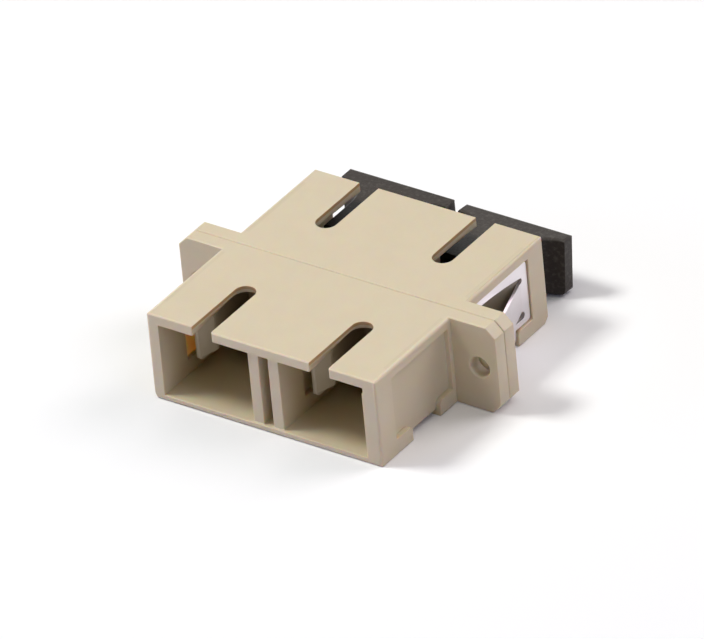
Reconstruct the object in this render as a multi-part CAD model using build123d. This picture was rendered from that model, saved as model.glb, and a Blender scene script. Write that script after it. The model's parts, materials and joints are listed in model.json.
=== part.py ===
from build123d import *
import math
import os

os.makedirs("parts", exist_ok=True)

# Duplex fibre adapter with a split flange, a spring clip and two loosely fitted dust caps.
# X runs across both ports, Y from the open ports to the capped ones, Z up.
# The origin is midway between the flange holes, on the plane where the two housings meet.

# Housing, one moulding used twice

port_pitch = 12.7
half_length = 13.35
port_height = 7.48
roof_wall = 0.97
floor_wall = 0.55
thin_side_wall = 1.23
thin_side_play = 0.7
thick_side_play = 0.35
divider_play = 0.55
centre_channel = 1.02
channel_end_wall = 2.6
divider_setback = 0.25
corner_groove_width = 0.15
corner_groove_height = 0.6
roof_edge_radius = 0.35
heel_radius = 0.15
heel_cut_width = 0.45
heel_cut_length = 0.9
heel_cut_height = 0.75
mouth_corner_radius = 0.3
mouth_edge_cut = 0.12

keyway_width = 2.1
keyway_end = 5.45
keyway_corner_radius = 0.15

flange_half_thickness = 1.52
flange_corner_cut = 0.95
flange_corner_round = 0.2
flange_edge_cut = 0.1
joint_edge_cut = 0.12
hole_to_body = 2.77
hole_to_end = 2.0
flange_hole_diameter = 2.1
flange_hole_lead = 0.15
joint_hole_lead = 0.1

clip_pocket_depth = 0.5
clip_pocket_step = 0.43
clip_pocket_far = 10.9
clip_shoulder_height = 1.0
clip_foot_height = 1.6
clip_strap_near = 4.1
clip_strap_far = 8.5
clip_foot_round = 0.5
clip_corner_round = 0.6

# Latch and sleeve holder, one moulding used four times

seat_depth = 1.2
seat_clearance = 0.04
plate_overhang = 0.8
plate_height_clearance = 0.09
barrel_diameter = 4.6
barrel_lip = 0.5
barrel_mouth_clearance = 0.18
barrel_lead = 0.3
latch_span = 8.3
latch_arm = 0.5
latch_height = 4.35
latch_length = 9.2
latch_nose_round = 0.2
latch_corner_round = 0.5
latch_root_round = 0.35
hook_depth = 0.6
hook_catch = 7.15
hook_land = 0.3
hook_ramp = 1.55
hook_step = 0.35
relief_front = 0.28
relief_height = 0.06
relief_depth = 0.45
relief_end = 3.6

# Split sleeve

sleeve_outer_diameter = 3.2
sleeve_bore_diameter = 2.49
sleeve_length = 11.4
sleeve_slit = 0.5
sleeve_clearance = 0.03

# Spring clip

clip_sheet = 0.28
clip_clearance = 0.02
clip_edge_gap = 0.12
clip_corner_radius = 0.4
window_near_bar = 0.83
window_far_bar = 1.28
window_top_bar = 0.68
window_low_bar = 0.58
window_top_bow = 0.14
slit_width = 0.6
slit_run = 0.45
tongue_height = 2.95
tongue_angle = 18.5
tongue_corner = 0.5
panel_thickness = 2.0
panel_play = 0.03

# Dust cap

cap_height = 5.75
cap_stem_width = 5.2
cap_head_width = 11.6
cap_head_thickness = 1.55
cap_neck_radius = 3.3
cap_insertion = 4.05
cap_stand_off = 3.55
cap_wall = 0.5
cap_outer_round = 0.5
cap_edge_cut = 0.2
cap_lift = 0.05
right_cap_shift = -0.35
right_cap_droop = 6.0

# Values worked out from the sizes above

port_x = port_pitch / 2
body_height = roof_wall + port_height + floor_wall
roof_z = body_height / 2 - roof_wall
floor_z = floor_wall - body_height / 2
port_z = (roof_z + floor_z) / 2
latch_outer = latch_span / 2
latch_inner = latch_outer - latch_arm
divider_face = port_x - latch_outer - divider_play
thin_side_x = port_x + latch_outer + thin_side_play
thick_side_x = port_x + latch_outer + thick_side_play
body_half = thin_side_x + thin_side_wall
hole_x = body_half + hole_to_body
flange_half = hole_x + hole_to_end
clip_pocket_near = flange_half_thickness + clip_pocket_step
clip_pocket_top = body_height / 2 - clip_shoulder_height
clip_foot_top = clip_foot_height - body_height / 2
channel_z = clip_sheet + 2 * clip_clearance - body_height / 2
pocket_x = body_half - clip_pocket_depth
barrel_radius = barrel_diameter / 2
barrel_end = sleeve_length / 2 + sleeve_clearance
barrel_length = barrel_end + barrel_lip
through = 1.0


def prism_y(sketch, y_low, y_high):
    """Extrude a front-view sketch between two values of Y."""
    return extrude(Plane.XZ.offset(-y_high) * sketch, y_high - y_low)


def prism_x(sketch, x_low, x_high):
    """Extrude a side-view sketch between two values of X."""
    return extrude(Plane.YZ.offset(x_low) * sketch, x_high - x_low)


def prism_z(sketch, z_low, z_high):
    """Extrude a plan-view sketch between two values of Z."""
    return extrude(Plane.XY.offset(z_low) * sketch, z_high - z_low)


def span(a_low, a_high, b_low, b_high):
    """A rectangle given by its limits along both directions of its sketch."""
    centre = Pos((a_low + a_high) / 2, (b_low + b_high) / 2)
    return centre * Rectangle(a_high - a_low, b_high - b_low)


def turned(shape):
    """The same piece turned end for end, as the far side uses it."""
    return Rot(0, 0, 180) * shape


def housing():
    """One half of the housing, with its mouth at negative Y and its flange at the joint."""
    shell = body_block() + flange_block()
    shell -= port_cuts()
    shell -= keyway_cuts()
    shell -= clip_cuts()
    shell -= flange_hole_cuts()

    keyway_edges = []
    for edge in shell.edges().filter_by(Axis.Z):
        centre = edge.center()
        beside_keyway = abs(abs(abs(centre.X) - port_x) - keyway_width / 2) < 0.01
        if beside_keyway and centre.Y < -keyway_end - keyway_width and centre.Z > roof_z:
            keyway_edges.append(edge)
    shell = fillet(keyway_edges, keyway_corner_radius)

    strap_edges = []
    for edge in shell.edges().filter_by(Axis.Y):
        centre = edge.center()
        at_pocket = abs(abs(centre.X) - pocket_x) < 0.01
        at_channel = abs(centre.Z - channel_z) < 0.01
        if at_pocket and at_channel:
            strap_edges.append(edge)
    return fillet(strap_edges, clip_corner_round)


def body_block():
    """The solid block of the body, rounded as it is seen from the front, from above and from the side."""
    front = Rectangle(2 * body_half, body_height)
    front = fillet(front.vertices().group_by(Axis.Y)[0], heel_radius)
    front = fillet(front.vertices().group_by(Axis.Y)[-1], roof_edge_radius)
    root = -flange_half_thickness / 2
    plan = span(-body_half, body_half, -half_length, root)
    plan = fillet(plan.vertices().group_by(Axis.Y)[0], mouth_corner_radius)
    side = span(-half_length, root, -body_height / 2, body_height / 2)
    side = chamfer(side.vertices().group_by(Axis.X)[0], mouth_edge_cut)
    block = prism_y(front, -half_length, root)
    block &= prism_z(plan, -body_height, body_height)
    block &= prism_x(side, -2 * body_half, 2 * body_half)
    return split(block, bisect_by=heel_plane(), keep=Keep.BOTTOM)


def heel_plane():
    """The plane that cuts off the lower corner of the mouth on the thin side."""
    corner = Vector(-body_half, -half_length, -body_height / 2)
    along_x = Vector(heel_cut_width, 0, 0)
    along_y = Vector(0, heel_cut_length, 0)
    along_z = Vector(0, 0, heel_cut_height)
    outwards = (along_y - along_x).cross(along_z - along_x)
    if outwards.X > 0:
        outwards = -outwards
    return Plane(origin=corner + along_x, z_dir=outwards)


def flange_block():
    """The flange with cut corners, softly edged at its face and at the joint."""
    outline = Rectangle(2 * flange_half, body_height)
    outline = chamfer(outline.vertices(), flange_corner_cut)
    outline = fillet(outline.vertices(), flange_corner_round)
    block = prism_y(outline, -flange_half_thickness, 0)
    block = chamfer(block.faces().sort_by(Axis.Y)[0].edges(), flange_edge_cut)
    return chamfer(block.faces().sort_by(Axis.Y)[-1].edges(), joint_edge_cut)


def port_cuts():
    """Both port cavities, their seats for the holders, the latch reliefs and the centre channel."""
    left_port = span(-thin_side_x, -divider_face, floor_z, roof_z)
    right_port = span(divider_face, thick_side_x, floor_z, roof_z)
    groove_x = thick_side_x + corner_groove_width
    right_port += span(divider_face, groove_x, roof_z - corner_groove_height, roof_z)
    cuts = prism_y(left_port + right_port, -half_length - through, through)

    relief_half = latch_height / 2 + relief_height
    relief = span(-latch_length - relief_front, -relief_end, port_z - relief_half, port_z + relief_half)
    left_relief = prism_x(relief, -thin_side_x - relief_depth, -divider_face + relief_depth)
    right_relief = prism_x(relief, divider_face - relief_depth, thick_side_x + relief_depth)
    cuts += left_relief + right_relief

    seat_half = latch_outer + plate_overhang + seat_clearance
    for x in (-port_x, port_x):
        seat = span(x - seat_half, x + seat_half, floor_z, roof_z)
        cuts += prism_y(seat, -seat_depth, through)

    channel = span(-centre_channel / 2, centre_channel / 2, floor_z, roof_z)
    cuts += prism_y(channel, -half_length - through, -channel_end_wall)
    divider_front = span(-divider_face - through, divider_face + through, floor_z, roof_z)
    cuts += prism_y(divider_front, -half_length - through, divider_setback - half_length)
    return cuts


def keyway_cuts():
    """The two round-ended keyways that run through the roof from the mouth."""
    radius = keyway_width / 2
    straight = span(-radius, radius, -half_length - through, -keyway_end - radius)
    outline = straight + Pos(0, -keyway_end - radius) * Circle(radius)
    keyway = prism_z(outline, roof_z - through, body_height / 2 + through)
    return [Pos(-port_x, 0, 0) * keyway, Pos(port_x, 0, 0) * keyway]


def clip_cuts():
    """The shallow pockets in both sides and the channel under the floor that take the clip."""
    pocket = span(-clip_pocket_far, -clip_pocket_near, clip_foot_top, clip_pocket_top)
    notch = span(-clip_strap_far, -clip_strap_near, -body_height / 2 - through, clip_pocket_top)
    outline = pocket + notch
    foot_corners = []
    for vertex in outline.vertices():
        if abs(vertex.Y - clip_foot_top) < 0.01 and -clip_pocket_far < vertex.X < -clip_pocket_near:
            if abs(vertex.X + clip_strap_far) < 0.01 or abs(vertex.X + clip_strap_near) < 0.01:
                foot_corners.append(vertex)
    outline = fillet(foot_corners, clip_foot_round)
    right_pocket = prism_x(outline, pocket_x, body_half + through)
    left_pocket = prism_x(outline, -body_half - through, -pocket_x)
    channel = span(-clip_strap_far, -clip_strap_near, -body_height / 2 - through, channel_z)
    return right_pocket + left_pocket + prism_x(channel, -body_half - through, body_half + through)


def flange_hole_cuts():
    """The fixing holes in both ears of the flange, with a small lead at the outer face and at the joint."""
    hole_radius = flange_hole_diameter / 2
    hole = prism_y(Circle(hole_radius), -flange_half_thickness - through, through)
    outer_lead = Cone(hole_radius, hole_radius + flange_hole_lead, flange_hole_lead)
    joint_lead = Cone(hole_radius + joint_hole_lead, hole_radius, joint_hole_lead)
    hole += Pos(0, flange_hole_lead / 2 - flange_half_thickness, 0) * Rot(90, 0, 0) * outer_lead
    hole += Pos(0, -joint_hole_lead / 2, 0) * Rot(90, 0, 0) * joint_lead
    return [Pos(-hole_x, 0, 0) * hole, Pos(hole_x, 0, 0) * hole]


def holder(x):
    """A latch and sleeve holder on the near side: plate, barrel and two hooked arms."""
    plate_height = port_height - 2 * plate_height_clearance
    plate_front = seat_depth - seat_clearance / 2
    plate_outline = Rectangle(2 * (latch_outer + plate_overhang), plate_height)
    plate = prism_y(plate_outline, -plate_front, -seat_clearance / 2)

    barrel = prism_y(Circle(barrel_radius), -barrel_length, -plate_front)
    tip = barrel.faces().sort_by(Axis.Y)[0]
    barrel = chamfer(tip.edges(), barrel_lead)

    arm = hooked_arm()
    piece = plate + barrel + arm + mirror(arm, Plane.YZ)
    root_edges = []
    for edge in piece.edges().filter_by(Axis.Z):
        centre = edge.center()
        if abs(abs(centre.X) - latch_inner) < 0.01 and abs(centre.Y + plate_front) < 0.01:
            root_edges.append(edge)
    piece = fillet(root_edges, latch_root_round)

    seat_radius = sleeve_outer_diameter / 2 + sleeve_clearance
    mouth_radius = sleeve_bore_diameter / 2 + barrel_mouth_clearance
    piece -= prism_y(Circle(seat_radius), -barrel_end, through)
    piece -= prism_y(Circle(mouth_radius), -barrel_length - through, through)
    return Pos(x, 0, port_z) * piece


def hooked_arm():
    """The spring arm on the right of the barrel, with a rounded nose and a lower hook on its inner side."""
    root = -seat_depth / 2
    plan = span(latch_inner, latch_outer, -latch_length, root)
    plan = fillet(plan.vertices().group_by(Axis.Y)[0], latch_nose_round)
    side = span(-latch_length, root, -latch_height / 2, latch_height / 2)
    side = fillet(side.vertices().group_by(Axis.X)[0], latch_corner_round)
    arm = prism_z(plan, -latch_height / 2, latch_height / 2) & prism_x(side, 0, latch_span)

    hook_tip = latch_inner - hook_depth
    land_end = hook_catch + hook_land
    hook = make_face(
        Polyline(
            (latch_inner + latch_nose_round, -land_end - hook_ramp),
            (latch_inner, -land_end - hook_ramp),
            (hook_tip, -land_end),
            (hook_tip, -hook_catch),
            (latch_inner + latch_nose_round, -hook_catch),
            close=True,
        )
    )
    hook_half = latch_height / 2 - hook_step
    return arm + prism_z(hook, -hook_half, hook_half)


def sleeve(x):
    """The split alignment sleeve that floats in both barrels of one port."""
    ring = Circle(sleeve_outer_diameter / 2) - Circle(sleeve_bore_diameter / 2)
    ring -= span(-sleeve_slit / 2, sleeve_slit / 2, 0, sleeve_outer_diameter)
    tube = prism_y(ring, -sleeve_length / 2, sleeve_length / 2)
    return Pos(x, 0, port_z) * tube


def panel_clip():
    """The folded spring clip: a strap under the far housing, two side plates and two tongues."""
    inner_x = pocket_x + clip_clearance
    outer_x = inner_x + clip_sheet
    strap_top = channel_z - clip_clearance
    strap_bottom = strap_top - clip_sheet
    inner_bend = clip_corner_round + clip_clearance
    plate_top = clip_pocket_top - clip_edge_gap
    plate_low = clip_foot_top + clip_edge_gap
    plate_near = clip_pocket_near + clip_edge_gap
    plate_far = clip_pocket_far - clip_edge_gap
    strap_near = clip_strap_near + clip_edge_gap
    strap_far = clip_strap_far - clip_edge_gap
    tongue_root = plate_far - window_far_bar

    outside = span(-outer_x, outer_x, strap_bottom, 0)
    outside = fillet(outside.vertices().group_by(Axis.Y)[0], inner_bend + clip_sheet)
    inside = span(-inner_x, inner_x, strap_top, through)
    inside = fillet(inside.vertices().group_by(Axis.Y)[0], inner_bend)
    clip = prism_y(outside - inside, strap_near, strap_far)

    plate = span(plate_near, plate_far, plate_low, plate_top)
    plate = fillet(plate.vertices(), clip_corner_radius)
    window_near = plate_near + window_near_bar
    window_low = plate_low + window_low_bar
    window_top = plate_top - window_top_bar
    plate -= window_outline(window_near, tongue_root, window_low, window_top)
    wing = prism_x(plate, inner_x, outer_x) + tongue(inner_x, tongue_root)
    return clip + wing + mirror(wing, Plane.YZ)


def window_outline(near, root, low, top):
    """The opening around the tongue, with a round-ended slit on each side of its root."""
    half_tongue = tongue_height / 2
    slit_top = half_tongue + slit_width
    middle = ((near + root) / 2, (slit_top + top) / 2 + window_top_bow)
    roof = ThreePointArc((root, slit_top), middle, (near, top))
    rest = Polyline((near, top), (near, low), (root, low), (root, slit_top))
    outline = make_face(roof + rest)
    outline += slit_outline(root, half_tongue, slit_width)
    outline += slit_outline(root, low, -half_tongue - low)
    return outline


def slit_outline(root, low, width):
    """One slit beside the root of the tongue, from its lower edge upwards, with a round end."""
    radius = width / 2
    end = root + slit_run
    straight = span(root - width, end - radius, low, low + width)
    return straight + Pos(end - radius, low + radius) * Circle(radius)


def tongue(inner_x, root):
    """A tongue that bends outwards from its root towards the flange, to hold a panel against it."""
    angle = math.radians(tongue_angle)
    end = flange_half_thickness + panel_thickness + panel_play
    end_x = inner_x + (root - end) * math.tan(angle)
    bend_end = root + clip_sheet * math.tan(angle / 2)
    foot = root + slit_run
    outline = make_face(
        Polyline(
            (inner_x, foot),
            (inner_x, root),
            (end_x, end),
            (end_x + clip_sheet * math.cos(angle), end + clip_sheet * math.sin(angle)),
            (inner_x + clip_sheet, bend_end),
            (inner_x + clip_sheet, foot),
            close=True,
        )
    )
    strip = prism_z(outline, -tongue_height / 2, tongue_height / 2)
    side_view = span(end, foot, -tongue_height / 2, tongue_height / 2)
    side_view = fillet(side_view.vertices().group_by(Axis.X)[0], tongue_corner)
    return strip & prism_x(side_view, inner_x - through, end_x + through)


def dust_cap(x, droop):
    """A soft cap: a hollow stem that flares into a wide flat grip, lying on the port floor."""
    stem_half = cap_stem_width / 2
    head_half = cap_head_width / 2
    inner_end = -cap_insertion
    head_near = cap_stand_off
    head_far = head_near + cap_head_thickness
    flare_start = head_near - cap_neck_radius
    centre_x = stem_half + cap_neck_radius
    reach = centre_x - head_half
    flare_end = flare_start + math.sqrt(cap_neck_radius**2 - reach**2)
    turn = math.acos(reach / cap_neck_radius) / 2
    middle_x = centre_x - cap_neck_radius * math.cos(turn)
    middle_y = flare_start + cap_neck_radius * math.sin(turn)

    right_side = Polyline((0, inner_end), (stem_half, inner_end), (stem_half, flare_start))
    right_flare = ThreePointArc((stem_half, flare_start), (middle_x, middle_y), (head_half, flare_end))
    right_end = Polyline((head_half, flare_end), (head_half, head_far), (0, head_far))
    half_outline = make_face(right_side + right_flare + right_end + Line((0, head_far), (0, inner_end)))
    outline = half_outline + mirror(half_outline, Plane.YZ)
    body = prism_z(outline, 0, cap_height)

    outer_face = body.faces().sort_by(Axis.Y)[-1]
    body = fillet(outer_face.edges(), cap_outer_round)
    stem_edges = []
    for edge in body.edges().filter_by(Axis.Y):
        if edge.center().Y < flare_start:
            stem_edges.append(edge)
    body = chamfer(stem_edges, cap_edge_cut)

    hollow = span(-stem_half + cap_wall, stem_half - cap_wall, cap_wall, cap_height - cap_wall)
    body -= prism_y(hollow, inner_end - through, head_near - cap_wall)
    placed = Pos(x, half_length, floor_z + cap_lift) * Rot(-droop, 0, 0) * body
    return placed


def build():
    """All the pieces of the adapter, by name."""
    near_housing = housing()
    pieces = {
        "housing_near": near_housing,
        "housing_far": turned(near_housing),
        "panel_clip": panel_clip(),
        "dust_cap_left": dust_cap(-port_x, 0),
        "dust_cap_right": dust_cap(port_x + right_cap_shift, right_cap_droop),
    }
    for side, x in (("left", -port_x), ("right", port_x)):
        pieces["latch_near_" + side] = holder(x)
        pieces["latch_far_" + side] = turned(holder(-x))
        pieces["sleeve_" + side] = sleeve(x)
    return pieces


for name, piece in build().items():
    export_step(piece, "parts/" + name + ".step")
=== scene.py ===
import json
import math
import bmesh
import bpy
from mathutils import Matrix, Vector


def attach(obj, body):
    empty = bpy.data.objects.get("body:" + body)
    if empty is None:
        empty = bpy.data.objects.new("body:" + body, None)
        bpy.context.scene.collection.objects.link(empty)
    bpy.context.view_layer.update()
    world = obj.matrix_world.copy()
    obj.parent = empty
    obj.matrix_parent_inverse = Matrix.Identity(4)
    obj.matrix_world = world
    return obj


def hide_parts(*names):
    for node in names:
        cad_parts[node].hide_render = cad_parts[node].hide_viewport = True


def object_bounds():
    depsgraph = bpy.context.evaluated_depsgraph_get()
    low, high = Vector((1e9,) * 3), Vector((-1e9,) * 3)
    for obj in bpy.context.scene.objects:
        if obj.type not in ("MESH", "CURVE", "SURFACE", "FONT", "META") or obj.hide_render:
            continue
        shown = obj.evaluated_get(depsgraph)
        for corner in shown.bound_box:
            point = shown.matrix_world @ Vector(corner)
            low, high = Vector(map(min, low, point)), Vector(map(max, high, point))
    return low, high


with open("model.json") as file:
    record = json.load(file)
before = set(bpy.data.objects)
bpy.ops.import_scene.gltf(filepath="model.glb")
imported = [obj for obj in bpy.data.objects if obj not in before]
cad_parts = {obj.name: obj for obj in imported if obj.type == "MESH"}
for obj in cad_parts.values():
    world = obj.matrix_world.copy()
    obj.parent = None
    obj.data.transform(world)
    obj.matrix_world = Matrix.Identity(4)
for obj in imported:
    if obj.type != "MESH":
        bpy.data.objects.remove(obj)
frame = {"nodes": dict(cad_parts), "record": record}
cad_low, cad_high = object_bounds()

MM = 0.001

# Camera, as the photograph was taken. Angles are in degrees and lengths in metres.

IMAGE_WIDTH = 704
CAMERA_AZIMUTH = 37.461
CAMERA_ELEVATION = 32.919
CAMERA_ROLL = -5.654
CAMERA_DISTANCE = 1.25904
CAMERA_RIGHT = 0.329 * MM
CAMERA_UP = -0.260 * MM
FOCAL_PIXELS = 14062.28
SENSOR_WIDTH = 36.0


def facing_back(azimuth, elevation):
    """The direction from the object towards a camera or light, from two angles in degrees."""
    turn = math.radians(azimuth)
    rise = math.radians(elevation)
    level = math.cos(rise)
    return Vector((math.sin(turn) * level, -math.cos(turn) * level, math.sin(rise)))


def add_camera():
    """The camera at the photograph's angle, aimed past the frame's origin."""
    back = facing_back(CAMERA_AZIMUTH, CAMERA_ELEVATION)
    roll = math.radians(CAMERA_ROLL)
    flat_right = (-back).cross(Vector((0, 0, 1))).normalized()
    flat_up = flat_right.cross(-back)
    right = flat_right * math.cos(roll) + flat_up * math.sin(roll)
    up = flat_up * math.cos(roll) - flat_right * math.sin(roll)

    lens = bpy.data.cameras.new("camera")
    lens.sensor_fit = "HORIZONTAL"
    lens.sensor_width = SENSOR_WIDTH
    lens.lens = FOCAL_PIXELS * SENSOR_WIDTH / IMAGE_WIDTH
    camera = bpy.data.objects.new("camera", lens)
    place = right * CAMERA_RIGHT + up * CAMERA_UP + back * CAMERA_DISTANCE
    turn = Matrix((right, up, back)).transposed()
    camera.matrix_world = Matrix.Translation(place) @ turn.to_4x4()
    bpy.context.scene.collection.objects.link(camera)
    bpy.context.scene.camera = camera


# Shader nodes

MIX_FIRST = 6
MIX_SECOND = 7
MIX_RESULT = 2
NOISE_MIDDLE = (0.3, 0.7)


class Shader:
    """A node material whose patterns are measured in millimetres of the object."""

    def __init__(self, name):
        self.material = bpy.data.materials.new(name)
        self.material.use_nodes = True
        self.tree = self.material.node_tree
        self.surface = self.tree.nodes["Principled BSDF"]
        place = self.tree.nodes.new("ShaderNodeTexCoord")
        scale = self.tree.nodes.new("ShaderNodeVectorMath")
        scale.operation = "SCALE"
        scale.inputs["Scale"].default_value = 1 / MM
        self.link(place.outputs["Object"], scale.inputs[0])
        self.millimetres = scale.outputs[0]

    def link(self, source, target):
        """Join an output to an input."""
        self.tree.links.new(source, target)

    def drive(self, name, source):
        """Join an output to an input of the surface shader."""
        self.link(source, self.surface.inputs[name])

    def fixed(self, **values):
        """Values that are the same all over the surface, set on the shader's own sockets."""
        for name, value in values.items():
            self.surface.inputs[name.replace("_", " ")].default_value = value

    def noise(self, cells, detail, stretch=(1, 1, 1)):
        """Noise with the given number of cells per millimetre."""
        mapping = self.tree.nodes.new("ShaderNodeMapping")
        mapping.inputs["Scale"].default_value = stretch
        texture = self.tree.nodes.new("ShaderNodeTexNoise")
        texture.inputs["Scale"].default_value = cells
        texture.inputs["Detail"].default_value = detail
        self.link(self.millimetres, mapping.inputs["Vector"])
        self.link(mapping.outputs["Vector"], texture.inputs["Vector"])
        return texture.outputs["Fac"]

    def spread(self, value, low, high, to_low=0.0, to_high=1.0):
        """Map a range of one value smoothly to another range."""
        node = self.tree.nodes.new("ShaderNodeMapRange")
        node.interpolation_type = "SMOOTHSTEP"
        node.inputs["From Min"].default_value = low
        node.inputs["From Max"].default_value = high
        node.inputs["To Min"].default_value = to_low
        node.inputs["To Max"].default_value = to_high
        self.link(value, node.inputs["Value"])
        return node.outputs["Result"]

    def combine(self, operation, first, second=0.0):
        """Combine two values, or a value and a number, by arithmetic."""
        node = self.tree.nodes.new("ShaderNodeMath")
        node.operation = operation
        for socket, value in zip(node.inputs, (first, second)):
            if isinstance(value, (int, float)):
                socket.default_value = value
            else:
                self.link(value, socket)
        return node.outputs[0]

    def where(self, *limits):
        """One where every value lies between its own two limits, and nought elsewhere."""
        share = None
        for value, (low, high) in limits:
            above = self.combine("GREATER_THAN", value, low)
            within = self.combine("MULTIPLY", above, self.combine("LESS_THAN", value, high))
            share = within if share is None else self.combine("MULTIPLY", share, within)
        return share

    def blend(self, share, first, second):
        """Blend two colours, each either a colour or a node's output."""
        node = self.tree.nodes.new("ShaderNodeMix")
        node.data_type = "RGBA"
        self.link(share, node.inputs["Factor"])
        for index, value in ((MIX_FIRST, first), (MIX_SECOND, second)):
            if isinstance(value, tuple):
                node.inputs[index].default_value = (*value, 1)
            else:
                self.link(value, node.inputs[index])
        return node.outputs[MIX_RESULT]

    def axes(self):
        """The place on the object in millimetres, along X, Y and Z."""
        node = self.tree.nodes.new("ShaderNodeSeparateXYZ")
        self.link(self.millimetres, node.inputs[0])
        return node.outputs

    def texture(self, grain, roughness, depth):
        """Roughness that follows the grain, and bump from it over a depth in millimetres."""
        self.drive("Roughness", self.spread(grain, *NOISE_MIDDLE, *roughness))
        node = self.tree.nodes.new("ShaderNodeBump")
        node.inputs["Distance"].default_value = depth * MM
        self.link(grain, node.inputs["Height"])
        self.drive("Normal", node.outputs["Normal"])


# Housing. The ranges are in millimetres from the middle, and one that starts at MIDDLE
# takes in the middle itself.

MIDDLE = -1
PORT_X = 6.35

HOUSING_COLOUR = (0.638, 0.545, 0.378)
HOUSING_SHADE = (0.626, 0.532, 0.364)
HOUSING_SPECULAR = 0.9
HOUSING_ROUGHNESS = (0.42, 0.54)
HOUSING_GRAIN_DEPTH = 0.006

# How far light goes in, and how much of it: in thick walls first, then in the thin ones
SCATTER_REACH = (1.0, 0.45, 0.14)
SCATTER_WEIGHT = (0.8, 1.0)
SCATTER_SCALE = (0.4 * MM, 0.8 * MM)

# The floors of the pockets that the clip lies in
POCKET_COLOUR = (0.6, 0.51, 0.345)
POCKET_X = (11.7, 12.05)
POCKET_Y = (1.9, 11.0)

# Painted shade on the same floors where the clip shades them, seen through its windows
WINDOW_SHADE_COLOUR = (0.2, 0.16, 0.1)
WINDOW_Y = (2.9, 10.2)
WINDOW_Z = (MIDDLE, 3.3)

# The thin walls beside the latches, where light shines through; their colour there is also painted
# yellow to tint that glow
THIN_COLOUR = (0.68, 0.69, 0.28)
THIN_X = (11.55, 11.78)
THIN_Y = (3.5, 9.75)
THIN_Z = (MIDDLE, 2.5)

# Painted shade on the insides of the ports, darker from the mouth inwards
PORT_SHADE_COLOUR = (0.48, 0.38, 0.215)
INSIDE_X = (MIDDLE, 11.3)
INSIDE_Z = (-4.0, 3.56)
DARKENING_Y = (13.3, 9.8)

# Painted amber glow along the upper walls of the keyways in the roof, for light shining through
# the thin roof edge
SLOT_GLOW_COLOUR = (0.5, 0.34, 0.16)
SLOT_FROM_PORT = (MIDDLE, 1.08)
SLOT_Y = (5.3, 14)
SLOT_Z = (4.15, 4.47)


def housing_plastic():
    """Beige moulded plastic, fine matt and very even, a little translucent where it is thin, with
    painted shade in the ports and behind the clip's windows and painted glow on the keyway and
    thin walls.
    """
    shader = Shader("housing_plastic")
    shader.fixed(Subsurface_Radius=SCATTER_REACH, Specular_IOR_Level=HOUSING_SPECULAR)
    places = shader.axes()
    x, y, z = (shader.combine("ABSOLUTE", place) for place in places)
    far_y, up_z = places[1:]
    from_port = shader.combine("ABSOLUTE", shader.combine("SUBTRACT", x, PORT_X))

    pocket = shader.where((x, POCKET_X), (y, POCKET_Y))
    # Painted shade on the pocket floors behind the clip's windows
    window_shade = shader.where((x, POCKET_X), (far_y, WINDOW_Y), (z, WINDOW_Z))
    # Scattered light shines through the thin walls, tinted by a painted yellow colour
    thin = shader.where((x, THIN_X), (y, THIN_Y), (z, THIN_Z))
    # Painted glow on the upper walls of the keyways
    slot = shader.where((from_port, SLOT_FROM_PORT), (y, SLOT_Y), (up_z, SLOT_Z))
    inside = shader.where((x, INSIDE_X), (up_z, INSIDE_Z))
    # Painted shade that deepens from each port's mouth inwards
    port_shade = shader.combine("MULTIPLY", shader.spread(y, *DARKENING_Y), inside)

    clouds = shader.spread(shader.noise(cells=0.35, detail=3), *NOISE_MIDDLE)
    colour = shader.blend(clouds, HOUSING_COLOUR, HOUSING_SHADE)
    # The pockets' own tone, then painted shade, painted glow and the thin walls' painted tint
    for share, tint in (
        (pocket, POCKET_COLOUR),
        (port_shade, PORT_SHADE_COLOUR),
        (window_shade, WINDOW_SHADE_COLOUR),
        (slot, SLOT_GLOW_COLOUR),
        (thin, THIN_COLOUR),
    ):
        colour = shader.blend(share, colour, tint)
    shader.drive("Base Color", colour)
    shader.drive("Subsurface Weight", shader.spread(thin, 0, 1, *SCATTER_WEIGHT))
    shader.drive("Subsurface Scale", shader.spread(thin, 0, 1, *SCATTER_SCALE))
    grain = shader.noise(cells=11, detail=3)
    shader.texture(grain, HOUSING_ROUGHNESS, HOUSING_GRAIN_DEPTH)
    return shader.material


# Latches

LATCH_COLOUR = (0.66, 0.6, 0.46)
LATCH_SHADE = (0.62, 0.56, 0.42)
# Painted shade deep in the ports, towards the latches' roots
LATCH_ROOT_SHADE = (0.48, 0.39, 0.25)
LATCH_ROOT_Y = (4.5, 7)
LATCH_SPECULAR = 0.4
LATCH_CLOUDS = (0.35, 0.65)
LATCH_ROUGHNESS = (0.4, 0.5)
LATCH_GRAIN_DEPTH = 0.006


def latch_plastic():
    """The holders' plastic, a little smoother than the housing, with painted shade darkening it
    towards their roots deep in the ports.
    """
    shader = Shader("latch_plastic")
    shader.fixed(Specular_IOR_Level=LATCH_SPECULAR)
    clouds = shader.spread(shader.noise(cells=0.5, detail=2), *LATCH_CLOUDS)
    arms = shader.blend(clouds, LATCH_COLOUR, LATCH_SHADE)
    y = shader.combine("ABSOLUTE", shader.axes()[1])
    # Painted shade towards the roots, deep in the port
    shader.drive("Base Color", shader.blend(shader.spread(y, *LATCH_ROOT_Y), LATCH_ROOT_SHADE, arms))
    grain = shader.noise(cells=7, detail=2)
    shader.texture(grain, LATCH_ROUGHNESS, LATCH_GRAIN_DEPTH)
    return shader.material


# Sleeves

BRONZE_LIGHT = (0.78, 0.54, 0.3)
BRONZE_DARK = (0.62, 0.4, 0.22)
BRONZE_STRETCH = (1, 0.05, 1)
BRONZE_ROUGHNESS = (0.22, 0.34)
BRONZE_LINE_DEPTH = 0.004


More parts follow.
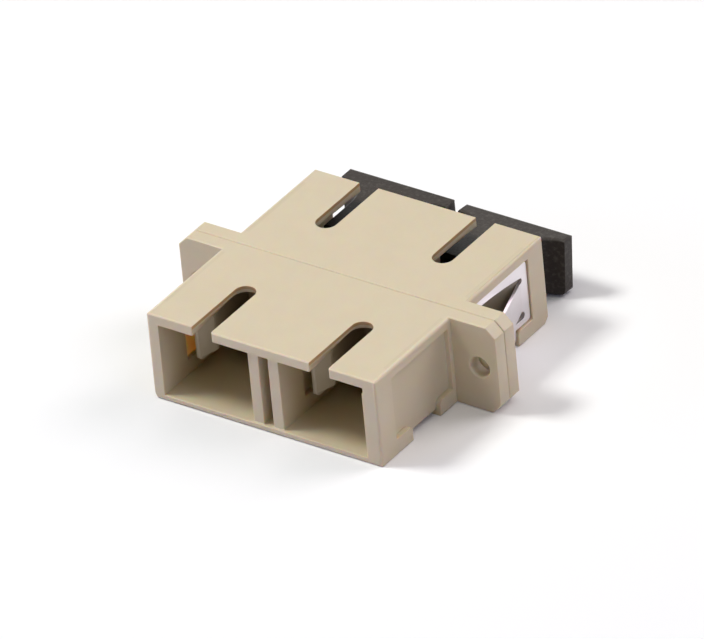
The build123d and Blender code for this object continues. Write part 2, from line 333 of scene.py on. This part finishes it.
def sleeve_bronze():
    """Smooth drawn bronze strip with faint lines along its length."""
    shader = Shader("sleeve_bronze")
    shader.fixed(Metallic=1.0)
    lines = shader.noise(cells=6, detail=2, stretch=BRONZE_STRETCH)
    shader.drive("Base Color", shader.blend(lines, BRONZE_LIGHT, BRONZE_DARK))
    shader.texture(lines, BRONZE_ROUGHNESS, BRONZE_LINE_DEPTH)
    return shader.material


# Clip

STEEL_LIGHT = (0.79, 0.74, 0.77)
STEEL_DARK = (0.76, 0.71, 0.75)
STEEL_CAST = (0.77, 0.73, 0.76)
STEEL_STRETCH = (1, 0.08, 1)
STEEL_ROUGHNESS = (0.3, 0.35)
STEEL_LINE_DEPTH = 0.0001


def clip_steel():
    """Rolled spring steel, satin, with very faint lines along the strip."""
    shader = Shader("clip_steel")
    shader.fixed(Metallic=1.0)
    lines = shader.noise(cells=7, detail=3, stretch=STEEL_STRETCH)
    cast = shader.spread(shader.noise(cells=0.7, detail=2), *NOISE_MIDDLE)
    rolled = shader.blend(lines, STEEL_LIGHT, STEEL_DARK)
    shader.drive("Base Color", shader.blend(cast, rolled, STEEL_CAST))
    shader.texture(lines, STEEL_ROUGHNESS, STEEL_LINE_DEPTH)
    return shader.material


# Dust caps

CAP_COLOUR = (0.038, 0.031, 0.026)
CAP_DUST = (0.074, 0.065, 0.056)
# Painted shade on the part of the cap within the port
CAP_PORT_SHADE = (0.012, 0.01, 0.008)
CAP_SPECKS = (0.13, 0.12, 0.11)
CAP_OUTSIDE_Y = (13.2, 14.6)
CAP_SPECULAR = 0.18
DUST_RANGE = (0.45, 0.8)
SPECK_RANGE = (0.7, 0.78)
CAP_ROUGHNESS = (0.34, 0.5)
CAP_GRAIN_DEPTH = 0.016


def cap_plastic():
    """Soft brownish black plastic, grained, dusty and specked, with painted shade making it
    darkest within the port.
    """
    shader = Shader("cap_plastic")
    shader.fixed(Specular_IOR_Level=CAP_SPECULAR)
    dust = shader.spread(shader.noise(cells=2.6, detail=5), *DUST_RANGE)
    worn = shader.blend(dust, CAP_COLOUR, CAP_DUST)
    # Painted shade within the port, fading out at its mouth
    outside = shader.spread(shader.axes()[1], *CAP_OUTSIDE_Y)
    tone = shader.blend(outside, CAP_PORT_SHADE, worn)
    specks = shader.spread(shader.noise(cells=7, detail=2), *SPECK_RANGE)
    shader.drive("Base Color", shader.blend(specks, tone, CAP_SPECKS))
    grain = shader.noise(cells=5, detail=4)
    shader.texture(grain, CAP_ROUGHNESS, CAP_GRAIN_DEPTH)
    return shader.material


def dress_nodes():
    """Give each CAD node the material of its slot."""
    materials = {
        "housing": housing_plastic(),
        "latch": latch_plastic(),
        "sleeve": sleeve_bronze(),
        "clip": clip_steel(),
        "cap": cap_plastic(),
    }
    for part in frame["record"]["subparts"]:
        node = frame["nodes"][part["node"]]
        node.data.materials.clear()
        node.data.materials.append(materials[part["material_slot"]])
    return materials


# Pieces with their edges rounded as the mould or the press leaves them. Lengths are in
# millimetres. A cap's place is the point under its middle at the mouth of its port.

SHARP_ANGLE = math.radians(40)
CREASE_ANGLE = math.radians(50)
FLAT_ANGLE = math.radians(0.5)
WELD_DISTANCE = 0.0005

MOUTH_Y = 13.35
CAP_FLOOR = -3.9
RIGHT_CAP_SHIFT = 0.35
RIGHT_CAP_DROOP = 6.0
CAPS = (
    ("left", Vector((-PORT_X, MOUTH_Y, CAP_FLOOR)), 0),
    ("right", Vector((PORT_X - RIGHT_CAP_SHIFT, MOUTH_Y, CAP_FLOOR)), RIGHT_CAP_DROOP),
)
CAP_HEIGHT = 5.75
HEAD_HALF = 5.8
LOW_ROUND = 0.8
TOP_ROUND = 0.3
HEAD_CUTS = 8

# Radius of the edges of each kind of piece, and the shortest edge beside which it has room
ROUND_SEGMENTS = 2
CAP_ROUND = 0.07
CAP_ROOM = 0.15
CLIP_ROUND = 0.04
CLIP_ROOM = 0.09
HOUSING_ROUND = 0.09
HOUSING_ROOM = 0.2

# Chamfers under the keyways of the two housing halves
CHAMFERS = (("near", 0.45), ("far", 0.2))
KEYWAY_HALF = 1.05
KEYWAY_END = 5.4
KEYWAY_MOUTH = 13.21
ROOF_UNDERSIDE = 3.53
KEYWAY_PLAY = 0.02


def round_edges(form, pick, radius, segments, room):
    """Round the sharp edges that are picked and meet no edge shorter than the room."""
    cramped = set()
    for edge in form.edges:
        if edge.calc_length() < room:
            cramped.update(edge.verts)
    chosen = []
    for edge in form.edges:
        sharp = len(edge.link_faces) == 2 and edge.calc_face_angle() > SHARP_ANGLE
        if sharp and pick(edge) and cramped.isdisjoint(edge.verts):
            chosen.append(edge)
    bmesh.ops.bevel(
        form,
        geom=chosen,
        offset=radius,
        offset_type="OFFSET",
        segments=segments,
        profile=0.5,
        affect="EDGES",
        clamp_overlap=False,
    )


def settle_order(form):
    """Sort a mesh by place, because rounding leaves its parts in a different order each run."""
    for parts in (form.verts, form.edges, form.faces):
        placed = []
        for part in parts:
            corners = [corner.co for corner in getattr(part, "verts", [part])]
            middle = sum(corners, Vector()) / len(corners)
            placed.append(([round(place, 4) for place in middle], part))
        placed.sort(key=lambda pair: pair[0])
        for rank, (_, part) in enumerate(placed):
            part.index = rank
        parts.sort()


def soften(name, body, material, steps, trim=None):
    """Stand a piece with rounded edges in the place of a CAD node."""
    form = bmesh.new()
    form.from_mesh(frame["nodes"][name].data)
    bmesh.ops.scale(form, vec=(1 / MM, 1 / MM, 1 / MM), verts=form.verts)
    bmesh.ops.remove_doubles(form, verts=form.verts, dist=WELD_DISTANCE)
    bmesh.ops.dissolve_limit(form, angle_limit=FLAT_ANGLE, verts=form.verts, edges=form.edges)
    if trim is not None:
        trim_head(form, *trim)
    for step in steps:
        round_edges(form, *step)
    settle_order(form)
    for face in form.faces:
        face.smooth = True
    for edge in form.edges:
        edge.smooth = edge.calc_face_angle() < CREASE_ANGLE
    bmesh.ops.scale(form, vec=(MM, MM, MM), verts=form.verts)
    mesh = bpy.data.meshes.new(name + "_softened")
    form.to_mesh(mesh)
    form.free()
    mesh.materials.append(material)
    piece = bpy.data.objects.new(name + "_softened", mesh)
    bpy.context.scene.collection.objects.link(piece)
    weighted = piece.modifiers.new("even_shading", "WEIGHTED_NORMAL")
    weighted.keep_sharp = True
    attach(piece, body)
    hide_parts(name)


def trim_head(form, place, droop):
    """Round off the four long corners of a cap's wide head, which leans by the droop about X."""
    lean = Matrix.Rotation(math.radians(-droop), 3, "X")
    corners = ((LOW_ROUND, -1, LOW_ROUND), (CAP_HEIGHT - TOP_ROUND, 1, TOP_ROUND))
    for side in (-1, 1):
        for base, rise, radius in corners:
            for step in range(1, HEAD_CUTS + 1):
                angle = math.radians(90) * step / (HEAD_CUTS + 1)
                facing = Vector((side * math.cos(angle), 0, rise * math.sin(angle)))
                point = Vector((side * (HEAD_HALF - radius), 0, base)) + facing * radius
                cut_away(form, lean @ point + place, lean @ facing)


def cut_away(form, point, facing):
    """Cut off what lies beyond a plane and close the cut."""
    whole = form.verts[:] + form.edges[:] + form.faces[:]
    cut = bmesh.ops.bisect_plane(
        form, geom=whole, plane_co=point, plane_no=facing, clear_outer=True
    )
    rim = [item for item in cut["geom_cut"] if isinstance(item, bmesh.types.BMEdge)]
    bmesh.ops.edgeloop_fill(form, edges=rim)


def under_keyway(edge):
    """True for an edge where the wall of a keyway meets the underside of the roof."""
    for vertex in edge.verts:
        x, y, z = vertex.co
        near_wall = abs(abs(x) - PORT_X) < KEYWAY_HALF + KEYWAY_PLAY
        along = KEYWAY_END < abs(y) < KEYWAY_MOUTH
        if not near_wall or not along or abs(z - ROOF_UNDERSIDE) > KEYWAY_PLAY:
            return False
    return True


def any_edge(edge):
    """True for every edge."""
    return True


def soften_pieces(materials):
    """Round the visible edges of the caps, the clip and the housings."""
    cap_steps = [(any_edge, CAP_ROUND, ROUND_SEGMENTS, CAP_ROOM)]
    for side, *trim in CAPS:
        soften("dust_cap_" + side, "cap_" + side, materials["cap"], cap_steps, trim)
    clip_steps = [(any_edge, CLIP_ROUND, ROUND_SEGMENTS, CLIP_ROOM)]
    soften("panel_clip", "adapter", materials["clip"], clip_steps)
    rounding = (any_edge, HOUSING_ROUND, ROUND_SEGMENTS, HOUSING_ROOM)
    for side, width in CHAMFERS:
        chamfer = (under_keyway, width, 1, 0.0)
        steps = [chamfer, rounding]
        soften("housing_" + side, "adapter", materials["housing"], steps)


# Floor, backdrop and light. Lengths are in metres.

FLOOR_SIZE = 3.0
FLOOR_GAP = 0.02 * MM
FLOOR_SEEN = (1.0, 1.0, 1.0)
FLOOR_BOUNCE = (0.72, 0.69, 0.76)
FLOOR_ROUGHNESS = 0.9
AMBIENT = 0.01
AMBIENT_COLOUR = (1.0, 0.96, 1.0)
BACKDROP_COLOUR = (1.0, 1.0, 1.0)


def seen_directly(tree):
    """One for rays from the camera, by reflection and through glass, which show plain white."""
    ray = tree.nodes.new("ShaderNodeLightPath")
    seen = ray.outputs["Is Camera Ray"]
    for kind in ("Is Glossy Ray", "Is Transmission Ray"):
        either = tree.nodes.new("ShaderNodeMath")
        either.operation = "MAXIMUM"
        tree.links.new(seen, either.inputs[0])
        tree.links.new(ray.outputs[kind], either.inputs[1])
        seen = either.outputs[0]
    return seen


def add_floor():
    """A wide white table top, just under the lowest point of the object."""
    mesh = bpy.data.meshes.new("floor")
    half = FLOOR_SIZE / 2
    level = cad_low.z - FLOOR_GAP
    outline = ((-half, -half), (half, -half), (half, half), (-half, half))
    mesh.from_pydata([(x, y, level) for x, y in outline], [], [(0, 1, 2, 3)])
    floor = bpy.data.objects.new("floor", mesh)
    bpy.context.scene.collection.objects.link(floor)
    shader = Shader("floor_paper")
    shader.fixed(Roughness=FLOOR_ROUGHNESS, Specular_IOR_Level=0.0)
    seen = seen_directly(shader.tree)
    shader.drive("Base Color", shader.blend(seen, FLOOR_BOUNCE, FLOOR_SEEN))
    mesh.materials.append(shader.material)


def background(tree, colour, strength):
    """One even light from all round."""
    node = tree.nodes.new("ShaderNodeBackground")
    node.inputs["Color"].default_value = (*colour, 1)
    node.inputs["Strength"].default_value = strength
    return node.outputs[0]


def add_world():
    """Soft light from all round, and plain white where the camera sees past the floor."""
    world = bpy.data.worlds.new("studio")
    bpy.context.scene.world = world
    world.use_nodes = True
    tree = world.node_tree
    tree.nodes.clear()
    mix = tree.nodes.new("ShaderNodeMixShader")
    output = tree.nodes.new("ShaderNodeOutputWorld")
    tree.links.new(seen_directly(tree), mix.inputs[0])
    tree.links.new(background(tree, AMBIENT_COLOUR, AMBIENT), mix.inputs[1])
    tree.links.new(background(tree, BACKDROP_COLOUR, 1.0), mix.inputs[2])
    tree.links.new(mix.outputs[0], output.inputs["Surface"])


# Each light has a name, azimuth and elevation in degrees, distance and size in metres, power in
# watts for a distance of one metre, and colour. Azimuth runs as the camera's does.

LIGHTS = (
    ("top_light", 0, 88, 0.6, 0.7, 4.0, (0.99, 1.0, 0.95)),
    ("key_light", -66, 55, 0.7, 0.17, 5.65, (0.99, 1.0, 0.97)),
    ("low_light", -50, 8, 0.7, 0.4, 3.3, (0.57, 0.60, 1.0)),
    ("side_light", 75, 20, 0.7, 0.4, 1.5, (0.68, 0.72, 1.0)),
    ("back_light", 140, 40, 0.7, 0.4, 3.9, (1.0, 0.92, 0.95)),
)


def add_softbox(name, azimuth, elevation, distance, size, strength, colour):
    """A square soft light that faces the object from the given side."""
    back = facing_back(azimuth, elevation)
    light = bpy.data.lights.new(name, "AREA")
    light.shape = "SQUARE"
    light.size = size
    light.energy = strength * distance**2
    light.color = colour
    lamp = bpy.data.objects.new(name, light)
    lamp.location = back * distance
    lamp.rotation_mode = "QUATERNION"
    lamp.rotation_quaternion = back.to_track_quat("Z", "Y")
    bpy.context.scene.collection.objects.link(lamp)


def add_lights():
    """A broad light overhead, a small key from the left, and weaker ones low down and behind."""
    for light in LIGHTS:
        add_softbox(*light)


bpy.context.scene.view_settings.view_transform = "Standard"
add_camera()
soften_pieces(dress_nodes())
add_floor()
add_world()
add_lights()
